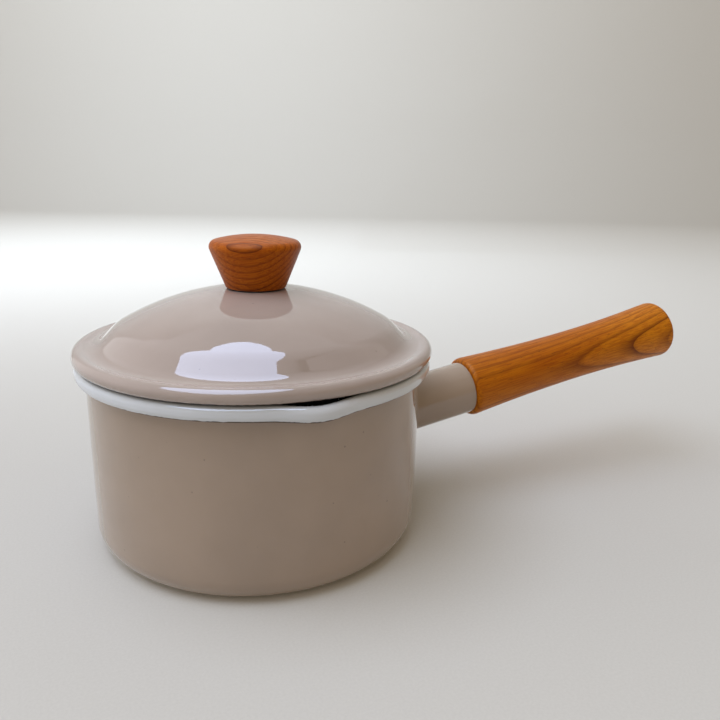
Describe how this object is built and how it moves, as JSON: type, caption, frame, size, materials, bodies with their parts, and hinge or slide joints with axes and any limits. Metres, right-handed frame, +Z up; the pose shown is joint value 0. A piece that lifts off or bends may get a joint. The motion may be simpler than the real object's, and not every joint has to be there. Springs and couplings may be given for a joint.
{
  "type": "saucepan",
  "caption": "Round enamelled steel saucepan with a pouring lip, a straight turned wood handle on an enamelled ferrule, and a domed enamelled lid with a wood knob.",
  "frame": {"origin": "centre of the flat base, on the surface that the pan stands on", "axes": "+Z up along the pan's axis, +X along the handle, the pouring lip points along -Y"},
  "size_m": [0.3578, 0.1756, 0.1492],
  "materials": {
    "taupe_enamel": "gloss",
    "white_enamel": "gloss",
    "ground_enamel": "satin",
    "sheet_steel": "satin",
    "zinc_steel": "satin",
    "brass": "satin",
    "black_rubber": "matte",
    "cherry_wood": "satin"
  },
  "bodies": {
    "pan": {"pan_steel_shell": "sheet_steel", "pan_wall_enamel": "taupe_enamel", "pan_base_enamel": "ground_enamel", "pan_inner_enamel": "white_enamel", "rim_enamel": "white_enamel", "ferrule_tube": "sheet_steel", "ferrule_bridge": "sheet_steel", "ferrule_nut": "zinc_steel", "ferrule_enamel": "taupe_enamel", "handle_wood": "cherry_wood", "handle_bolt": "zinc_steel", "handle_washer": "zinc_steel", "handle_lock_washer": "zinc_steel", "handle_plug": "cherry_wood"},
    "lid": {"lid_steel_shell": "sheet_steel", "lid_outer_enamel": "taupe_enamel", "lid_inner_enamel": "white_enamel", "lid_ring": "ground_enamel", "knob_wood": "cherry_wood", "knob_insert": "brass", "knob_screw": "zinc_steel", "knob_seal": "black_rubber", "knob_washer": "zinc_steel", "knob_lock_washer": "zinc_steel"}
  },
  "joints": [
    {"name": "lid_lift", "type": "slide", "parent": "pan", "child": "lid", "axis": [0, 0, 1], "range_m": [0, 0.15]}
  ]
}
